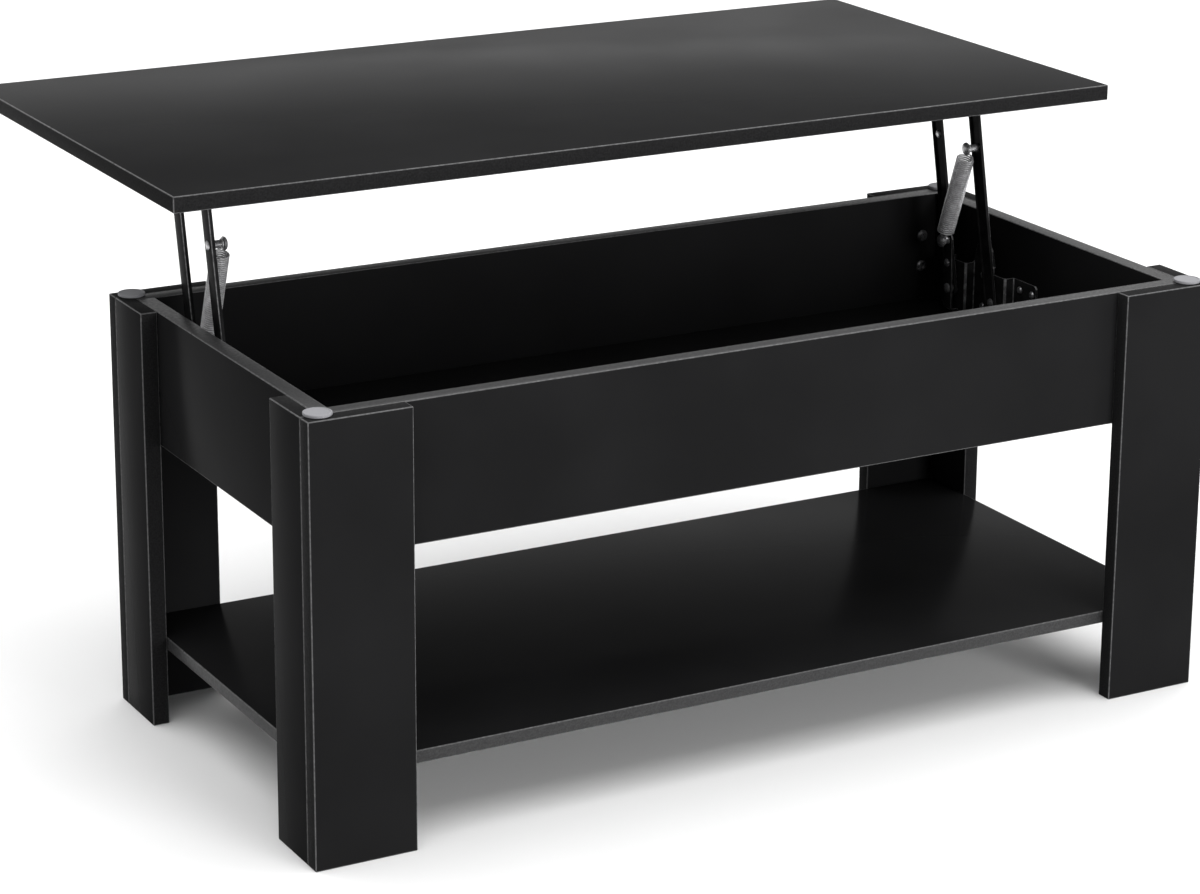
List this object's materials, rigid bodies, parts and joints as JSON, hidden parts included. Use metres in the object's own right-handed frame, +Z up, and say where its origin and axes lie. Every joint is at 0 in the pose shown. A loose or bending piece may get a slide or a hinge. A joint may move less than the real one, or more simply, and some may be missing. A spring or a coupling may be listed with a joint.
{
  "type": "lift top coffee table",
  "caption": "Black coffee table whose top lifts and swings towards the user on spring-assisted parallel arms, over a storage box, with L-shaped legs and an open shelf.",
  "frame": {"origin": "centre of the footprint of the table with its top raised, on the floor", "axes": "+X along the table's length, +Y towards the side where the user sits, to which the raised top moves, +Z up"},
  "size_m": [0.98, 0.7092, 0.5465],
  "materials": {
    "black_laminate": "satin black melamine on particle board, with a fine grain on the edge bands",
    "black_steel": "semi-gloss black powder coat",
    "spring_steel": "bright drawn wire",
    "pin_steel": "dark zinc plate",
    "pad_plastic": "matt grey with a brighter moulded rim"
  },
  "bodies": {
    "base": {"front_box_panel": "black_laminate", "back_box_panel": "black_laminate", "left_end_panel": "black_laminate", "right_end_panel": "black_laminate", "box_floor": "black_laminate", "lower_shelf": "black_laminate", "front_left_leg_long_side": "black_laminate", "front_left_leg_short_side": "black_laminate", "front_right_leg_long_side": "black_laminate", "front_right_leg_short_side": "black_laminate", "back_left_leg_long_side": "black_laminate", "back_left_leg_short_side": "black_laminate", "back_right_leg_long_side": "black_laminate", "back_right_leg_short_side": "black_laminate", "front_left_bumper_pad": "pad_plastic", "front_right_bumper_pad": "pad_plastic", "back_left_bumper_pad": "pad_plastic", "back_right_bumper_pad": "pad_plastic", "front_left_leg_bolt_upper": "pin_steel", "front_left_leg_bolt_lower": "pin_steel", "front_right_leg_bolt_upper": "pin_steel", "front_right_leg_bolt_lower": "pin_steel", "back_left_leg_bolt_upper": "pin_steel", "back_left_leg_bolt_lower": "pin_steel", "back_right_leg_bolt_upper": "pin_steel", "back_right_leg_bolt_lower": "pin_steel", "left_base_bracket": "black_steel", "left_spring_hanger": "black_steel", "left_front_lower_pin": "pin_steel", "left_rear_lower_pin": "pin_steel", "left_lower_spring_stud": "pin_steel", "right_base_bracket": "black_steel", "right_spring_hanger": "black_steel", "right_front_lower_pin": "pin_steel", "right_rear_lower_pin": "pin_steel", "right_lower_spring_stud": "pin_steel"},
    "front_arms": {"left_front_arm": "black_steel", "left_upper_spring_stud": "pin_steel", "right_front_arm": "black_steel", "right_upper_spring_stud": "pin_steel"},
    "rear_arms": {"left_rear_arm": "black_steel", "right_rear_arm": "black_steel"},
    "top": {"table_top": "black_laminate", "left_top_rail": "black_steel", "left_front_upper_pin": "pin_steel", "left_rear_upper_pin": "pin_steel", "right_top_rail": "black_steel", "right_front_upper_pin": "pin_steel", "right_rear_upper_pin": "pin_steel"},
    "springs": {"left_spring": "spring_steel", "right_spring": "spring_steel"},
    "spring_ends": {"left_spring_upper_eye": "spring_steel", "right_spring_upper_eye": "spring_steel"}
  },
  "joints": [
    {"name": "lift", "type": "hinge", "parent": "base", "child": "front_arms", "pos_m": [0, -0.07012, 0.316], "axis": [1, 0, 0], "range_deg": [0, 80.77]},
    {"name": "rear_arm_swing", "type": "hinge", "parent": "base", "child": "rear_arms", "pos_m": [0, -0.00112, 0.316], "axis": [1, 0, 0], "range_deg": [0, 80.78]},
    {"name": "top_level", "type": "hinge", "parent": "front_arms", "child": "top", "pos_m": [0, -0.02688, 0.51946], "axis": [1, 0, 0], "range_deg": [-80.78, 0]},
    {"name": "spring_swing", "type": "hinge", "parent": "base", "child": "springs", "pos_m": [0, 0.00088, 0.366], "axis": [1, 0, 0], "range_deg": [0, 67.9]},
    {"name": "spring_stretch", "type": "slide", "parent": "springs", "child": "spring_ends", "axis": [0, -0.3473, 0.9378], "range_m": [0, 0.1071], "deforming": ["left_spring", "left_spring_upper_eye", "right_spring", "right_spring_upper_eye"]}
  ],
  "couplings": [
    {"joint": "rear_arm_swing", "follows": "lift", "ratio": 1},
    {"joint": "top_level", "follows": "lift", "ratio": -1},
    {"joint": "spring_swing", "follows": "lift", "ratio": 0.8403},
    {"joint": "spring_stretch", "follows": "lift", "m_per_rad": 0.075907}
  ]
}
